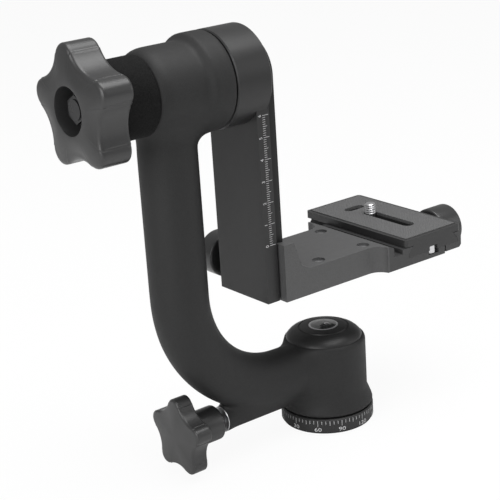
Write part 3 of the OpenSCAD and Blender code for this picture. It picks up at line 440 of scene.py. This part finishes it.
def ease(value, start, end):
    """0 before start, 1 after end, and a smooth step between them."""
    s = np.clip((value - start) / (end - start), 0, 1)
    return s * s * (3 - 2 * s)


TUBE_X, TILT_Z, HUB_R = -92.0, 200.0, 22.4
arm = even_skin("swing_arm", "swing_arm_casting", 0.95 * MM)
co = np.empty(len(arm.data.vertices) * 3)
arm.data.vertices.foreach_get("co", co)
x, y, z = co.reshape(-1, 3).T / MM
BARREL_R, BOSS_Z, JOIN_ROUNDS, END_ROUNDS = 21.8, 21.6, 170, 30
from_barrel = np.hypot(y, z - TILT_Z)
from_pan = np.hypot(x, y)
barrel_left = x.min()
under_barrel = (ease(-np.abs(from_barrel - BARREL_R), -8.0, -3.0) * ease(-z, -192.0, -184.0)
                * ease(-np.abs(x - TUBE_X), -25.0, -17.0) * (from_barrel > 17.5))
at_hub = (ease(-np.abs(from_pan - HUB_R), -8.0, -3.0) * ease(-x, 4.0, 10.0) * (from_pan > 17.5)
          * ease(-z, -47.0, -43.5) * ease(z, 11.5, 15.0))
at_boss = (ease(-np.abs(z - 22.5), -9.0, -4.0) * ease(-x, 19.0, 22.0) * ease(x, -71.0, -66.0)
           * (np.hypot(y, z - BOSS_Z) > 5.5) * ease(-np.abs(y), -14.0, -9.0))
weight = np.clip(under_barrel + at_hub + at_boss * 0.6, 0, 1) * 0.75
relax(arm.data, weight, JOIN_ROUNDS)
at_end = ease(-x, -barrel_left - 6.0, -barrel_left - 1.5) * ease(from_barrel, 18.0, 18.8)
relax(arm.data, at_end * 0.75, END_ROUNDS)
relax(arm.data, np.full(len(x), 0.5), 3)
arm.data.polygons.foreach_set("use_smooth", np.ones(len(arm.data.polygons), bool))
dress(arm, "casting", "arm", "swing_arm")
print("swing arm:", len(arm.data.polygons), "faces")

# %% [markdown]
# The lock knobs are five-lobed stars of moulded plastic. Seen along its axis such a knob has five
# small circles for its lobes, and a disc between them that five larger circles hollow out. The same
# outline shrinks a little towards both faces, which rounds every edge.

# %% Star knobs
def star_radius(angle, size, turn):
    """Radius at an angle, as in the solid: a lobe is the far side of a circle of radius tip at
    distance out, and a hollow is the near side of one of radius hollow at distance at."""
    tip, at, half = size * 0.22, size * 1.45, math.radians(36)
    out = size - tip
    reach = math.sqrt(out * out + at * at - 2 * out * at * math.cos(half))
    meet = math.hypot(out + (at * math.cos(half) - out) * tip / reach,
                      at * math.sin(half) * tip / reach)
    hollow = reach - tip * 1.06
    away = np.abs((angle - turn + half) % (2 * half) - half)
    lobe = out * np.cos(away) + np.sqrt(np.maximum(tip ** 2 - (out * np.sin(away)) ** 2, 0))
    lobe = np.where(out * np.sin(away) < tip, lobe, 0)
    deep = hollow ** 2 - (at * np.sin(half - away)) ** 2
    disc = np.where(deep > 0, at * np.cos(half - away) - np.sqrt(np.maximum(deep, 0)), meet)
    return np.maximum(lobe, np.minimum(disc, meet))


def mould_line(angle, turn, offset, width):
    """1 on the fine line on each side of a lobe, at offset radians from its middle, and 0
    elsewhere: a bell curve of the given width."""
    away = (angle - turn + np.pi / 5) % (2 * np.pi / 5) - np.pi / 5
    return np.exp(-((np.abs(away) - offset) / width) ** 2)


def star_knob(name, inner, outer, centre, size, turn, hole_r, hole_deep, edge, dome, around=720):
    """Rows run from the middle of the inner face, round the rim, over the outer face and down the
    hole. Each row blends between a circle and the star outline less an inset."""
    a = np.linspace(0, 2 * np.pi, around, endpoint=False)
    star = star_radius(a, size, turn)
    thick = inner - outer
    rows = [(0.0, 0.0, inner, 0.0), (0.6, 0.0, inner, 0.0)]
    arc = np.linspace(0, np.pi / 2, 7)
    small = edge * 0.45
    rows += [(1.0, small * (1 - math.sin(t)), inner - small * (1 - math.cos(t)), 0.0) for t in arc]
    rows += [(1.0, 0.0, inner - thick * s, 1.0) for s in (0.1, 0.14, 0.3, 0.5, 0.7)]
    rows += [(1.0, 0.0, outer + edge * 1.15, 0.3)]
    rows += [(1.0, edge * (1 - math.cos(t)), outer + dome + (edge - dome) * (1 - math.sin(t)), 0.0)
             for t in arc]
    rows += [(s, edge, outer + dome * (s ** 2), 0.0) for s in (0.85, 0.6, 0.35, 0.1)]
    line = mould_line(a, turn, 0.25, 0.014)
    out = []
    for share, inset, at, lines in rows:
        base = hole_r + 0.4 if at < inner - thick * 0.5 else 0.0
        r = (1 - share) * base + share * (star - inset - 0.45 * lines * line)
        out.append(np.stack([np.full(around, at), r * np.cos(a), r * np.sin(a)], axis=1))
    if hole_r > 0:
        for r_h, at in ((hole_r + 0.1, outer + 0.1), (hole_r, outer + 0.5),
                        (hole_r, outer + hole_deep), (0.0, outer + hole_deep)):
            out.append(np.stack([np.full(around, at), r_h * np.cos(a), r_h * np.sin(a)], axis=1))
    else:
        out.append(np.stack([np.full(around, outer), 0 * a, 0 * a], axis=1))
    return surface(name, np.array(out) + np.array([0, centre[1], centre[2]]), angle=50)


TILT_STAR_R, PAN_STAR_R, TILT_NECK_LEN, PAN_STAR_T = 31.0, 20.8, 4.2, 10.0
low, high = box_mm("tilt_knob")
tilt_star = star_knob("tilt_knob_star", high[0] - TILT_NECK_LEN, low[0], (0, 0, TILT_Z),
                      TILT_STAR_R, math.radians(84), 11.6, 10.0, 3.4, 1.2)
dress(tilt_star, "knob_plastic", "tilt_lock_knob", "tilt_knob")
neck = turned("tilt_knob_neck", [(8.1, -4.0), (12.4, -4.0), (13.0, -3.4), (13.0, 0.6), (8.1, 0.6),
                                 (8.1, -4.0)], (high[0] - 0.2, 0, TILT_Z), "X")
dress(neck, "knob_plastic", "tilt_lock_knob")
low, high = box_mm("pan_knob")
LOCK_Z = (box_mm("pan_lock_pad")[0][2] + box_mm("pan_lock_pad")[1][2]) / 2
pan_star = star_knob("pan_knob_star", low[0] + PAN_STAR_T, low[0], (0, 0, LOCK_Z), PAN_STAR_R,
                     math.radians(90), 0.0, 0.0, 2.0, 0.8)
dress(pan_star, "knob_plastic", "pan_lock_knob", "pan_knob")
neck_profile = rounded([(3.05, 0.2), (9.2, 0.2), (9.2, 16.4), (3.05, 16.4)], 0.9)
pan_neck = turned("pan_knob_neck", neck_profile + [(3.05, 0.2)], (low[0] + 9.9, 0, LOCK_Z), "X")
dress(pan_neck, "knob_plastic", "pan_lock_knob")
print("star knobs made")

# %% [markdown]
# The two smaller knobs are plain moulded drums with soft edges and a shallow dish in their face.
# A cylinder with a Bevel modifier would come close. A turned profile is used instead, since it
# gives the edges and the dish in one surface.

# %% Drum knobs
def drum_knob(name, radius, length, centre, axis):
    """A turned drum with rounded ends and a dish in its outer face."""
    prof = rounded([(0, 0), (radius, 0), (radius, length), (radius - 3.2, length),
                    (radius - 3.8, length - 0.5), (0, length - 0.5)], 1.5)
    return turned(name, prof, centre, axis, 96)


DRUM_R, CLAMP_DRUM_LEN, REAR_DRUM_LEN = 12.0, 15.0, 11.0
low, high = box_mm("clamp_knob")
CLAMP_Z = (low[2] + high[2]) / 2
grip = drum_knob("clamp_knob_grip", DRUM_R, CLAMP_DRUM_LEN,
                 (high[0] - CLAMP_DRUM_LEN, 0, CLAMP_Z), "X")
dress(grip, "knob_plastic", "jaw_knob", "clamp_knob")
stem = turned("clamp_knob_stem", [(1.7, 0), (5.0, 0), (5.0, 2.0), (1.7, 2.0), (1.7, 0)],
              (low[0], 0, CLAMP_Z), "X")
dress(stem, "knob_plastic", "jaw_knob")
low, high = box_mm("carriage_knob")
rear_x, rear_z = (low[0] + high[0]) / 2, (low[2] + high[2]) / 2
rear = drum_knob("carriage_knob_grip", DRUM_R, REAR_DRUM_LEN,
                 (rear_x, high[1] - REAR_DRUM_LEN, rear_z), "Y")
dress(rear, "knob_plastic", "carriage_lock_knob", "carriage_knob")
rear_stem = turned("carriage_knob_stem", [(2.05, 0), (5.0, 0), (5.0, 3.2), (2.05, 3.2), (2.05, 0)],
                   (rear_x, low[1], rear_z), "Y")
dress(rear_stem, "knob_plastic", "carriage_lock_knob")
print("drum knobs made")

# %% [markdown]
# The cap over the pan hub is a shallow dome with a fine ring groove around the bubble level. It
# is turned from a profile whose corners are rounded, which the solid has as flats.

# %% Cap
HUB_TOP = 47.5
cap = turned("hub_cap_dome", [(8.02, -1.0), (8.02, 5.6), (8.4, 5.9), (10.2, 5.8), (12.4, 5.35),
                              (13.0, 5.2), (13.25, 4.7), (13.6, 4.65), (13.85, 5.0), (15.9, 4.3),
                              (17.8, 3.3), (19.1, 2.2), (20.1, 1.1), (20.55, 0.3), (20.6, -0.05),
                              (17.2, -0.05), (17.2, -2.9), (8.02, -2.9), (8.02, -1.0)],
             (0, 0, HUB_TOP), "Z", 160)
dress(cap, "cap", "arm", "hub_cap")
print("cap made")

# %% [markdown]
# The camera screw is the brightest piece. Its thread is a surface too: around and along the
# screw, the radius falls and rises once per pitch, and the pitch is shifted by the angle.

# %% Camera screw
def threaded(name, radius, depth, pitch, low_z, high_z, centre, around=48, per_pitch=8):
    """Radius = radius - depth * triangle wave of (height / pitch - angle / one turn)."""
    rows = int((high_z - low_z) / pitch * per_pitch)
    a = np.linspace(0, 2 * np.pi, around, endpoint=False)[None, :]
    h = np.linspace(low_z, high_z, rows)[:, None]
    wave = np.abs(((h / pitch - a / (2 * np.pi)) % 1.0) * 2 - 1)
    taper = np.clip((high_z - h) / 0.8, 0, 1)
    r = radius - depth * wave - (1 - taper) * 0.5
    ring = np.stack([r * np.cos(a), r * np.sin(a), np.repeat(h, around, axis=1)], axis=-1)
    caps = [np.zeros((1, around, 3)), np.zeros((1, around, 3))]
    caps[0][..., 2], caps[1][..., 2] = low_z, high_z
    return surface(name, np.concatenate([caps[0], ring, caps[1]]) + np.array(centre), angle=30)


low, high = box_mm("camera_screw")
screw_x, screw_y = (low[0] + high[0]) / 2, (low[1] + high[1]) / 2
THREAD_FROM = box_mm("plate_pad")[1][2] + 0.3
thread = threaded("camera_screw_thread", 3.175, 0.5, 1.27, THREAD_FROM, high[2],
                  (screw_x, screw_y, 0))
dress(thread, "bright_steel", "camera_screw", "camera_screw")
head = turned("camera_screw_head", rounded([(0, 0), (5.6, 0), (5.6, 2.2), (2.8, 2.2)], 0.4)
              + [(2.8, THREAD_FROM - low[2])], (screw_x, screw_y, low[2]), "Z", 64)
dress(head, "bright_steel", "camera_screw")
print("camera screw made")

# %% [markdown]
# The degree ring carries fine light lines every five degrees and a number every thirty. Each
# line is a thin plate bent to the ring. Numbers are made from a font, turned into a mesh, and
# wrapped around the ring: a point's distance along the text becomes an angle.

# %% Degree ring's scale
def plates(name, centres, widths, heights, lift, place):
    """One four-sided plate per mark; place maps (along, up, out) arrays to points."""
    u = np.array([-0.5, 0.5, 0.5, -0.5])
    v = np.array([-0.5, -0.5, 0.5, 0.5])
    along = centres[:, :1] + widths[:, None] * u
    up = centres[:, 1:2] + heights[:, None] * v
    pts = place(along, up, np.full_like(along, lift)).reshape(-1, 3) * MM
    faces = np.arange(len(centres) * 4).reshape(-1, 4)
    mesh = bpy.data.meshes.new(name)
    mesh.from_pydata(pts.tolist(), [], faces.tolist())
    obj = bpy.data.objects.new(name, mesh)
    scene.collection.objects.link(obj)
    return obj


def words(name, text, size, place, centre, lift, wide=1.0):
    """A short text as a mesh, in millimetres, centred, widened and laid on a surface by place."""
    curve = bpy.data.curves.new(name, "FONT")
    curve.body, curve.size = text, size
    curve.align_x, curve.align_y = "CENTER", "CENTER"
    curve.resolution_u = 3
    temp = bpy.data.objects.new(name + "_text", curve)
    scene.collection.objects.link(temp)
    mesh = bpy.data.meshes.new_from_object(
        temp.evaluated_get(bpy.context.evaluated_depsgraph_get()))
    bpy.data.objects.remove(temp)
    co = np.empty(len(mesh.vertices) * 3)
    mesh.vertices.foreach_get("co", co)
    co = co.reshape(-1, 3)
    pts = place(centre[0] + co[:, 0] * wide, centre[1] + co[:, 1], np.full(len(co), lift)) * MM
    mesh.vertices.foreach_set("co", pts.ravel())
    mesh.update()
    obj = bpy.data.objects.new(name, mesh)
    scene.collection.objects.link(obj)
    return obj


def print_on(pieces, body):
    """Gives printed marks their light finish and the body that they are printed on."""
    for piece in pieces:
        piece.data.materials.clear()
        piece.data.materials.append(PRINT)
        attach(piece, body)


RING_R, ZERO_AT = 25.2, math.radians(157.4)


def on_ring(along, up, out):
    """Distance along the ring becomes an angle from its zero mark."""
    a = ZERO_AT + along / RING_R
    return np.stack([(RING_R + out) * np.cos(a), (RING_R + out) * np.sin(a), up], axis=-1)


degrees = np.arange(0, 360, 5)
length = np.where(degrees % 30 == 0, 3.3, np.where(degrees % 15 == 0, 2.5, 1.9))
centres = np.stack([np.radians(degrees) * RING_R, 7.5 - length / 2], axis=1)
marks = [plates("degree_marks", centres, np.full(72, 0.22), length, 0.03, on_ring)]
for d in range(0, 360, 30):
    marks.append(words(f"degree_{d}", str(d), 3.1, on_ring, (math.radians(d) * RING_R, 2.4), 0.06,
                       1.35))
print_on(marks, "base")
print("degree marks:", len(marks))

# %% [markdown]
# The tilt arm's near side carries a ruler from 0 to 6 with ten parts to each. It is the same
# kind of print as the ring's, so the same helpers make it: only the function that lays the marks
# on the surface is another one, because this side is flat.

# %% Ruler
SLAB_SIDE = -19.45
RULER_ZERO, RULER_UNIT, TICK_LEFT = 115.3, 11.1, -48.2


def on_slab(along, up, out):
    """Along runs up the arm and up runs towards its left edge, so that the figures lie down."""
    return np.stack([-up, SLAB_SIDE - out, along], axis=-1)


steps = np.arange(61)
tick = np.where(steps % 10 == 0, 3.7, np.where(steps % 5 == 0, 2.6, 1.7))
centres = np.stack([RULER_ZERO + steps * RULER_UNIT / 10, -(TICK_LEFT + tick / 2)], axis=1)
ruler = [plates("ruler_marks", centres, np.full(61, 0.2), tick, 0.03, on_slab)]
for n in range(7):
    ruler.append(words(f"ruler_{n}", str(n), 2.6, on_slab,
                       (RULER_ZERO + n * RULER_UNIT, 49.8), 0.03))
print_on(ruler, "tilt_arm")
print("ruler marks:", len(ruler))

# %% [markdown]
# The end of the lock boss is bare metal: a thin turned ring around the stud. The level has a
# small round bubble under its window, seen as a bright spot. A bubble inside clear plastic would
# need slow light paths, so it is a small bright turned cap on the window.

# %% Boss ring and bubble
boss_ring = turned("boss_ring", rounded([(3.2, 0), (6.6, 0), (6.9, 0.4), (3.2, 0.4)], 0.1)
                   + [(3.2, 0)], (-72.1, 0, LOCK_Z), "X", 64)
dress(boss_ring, "steel", "arm")
low, high = box_mm("level_window")
bubble = turned("level_bubble", [(0, 0.0), (1.2, -0.12), (1.7, -0.35), (1.9, -0.6), (0, -0.6)],
                (1.0, -1.5, high[2] + 0.12), "Z", 32)
dress(bubble, "bright_steel", "arm")
print("small trim made")
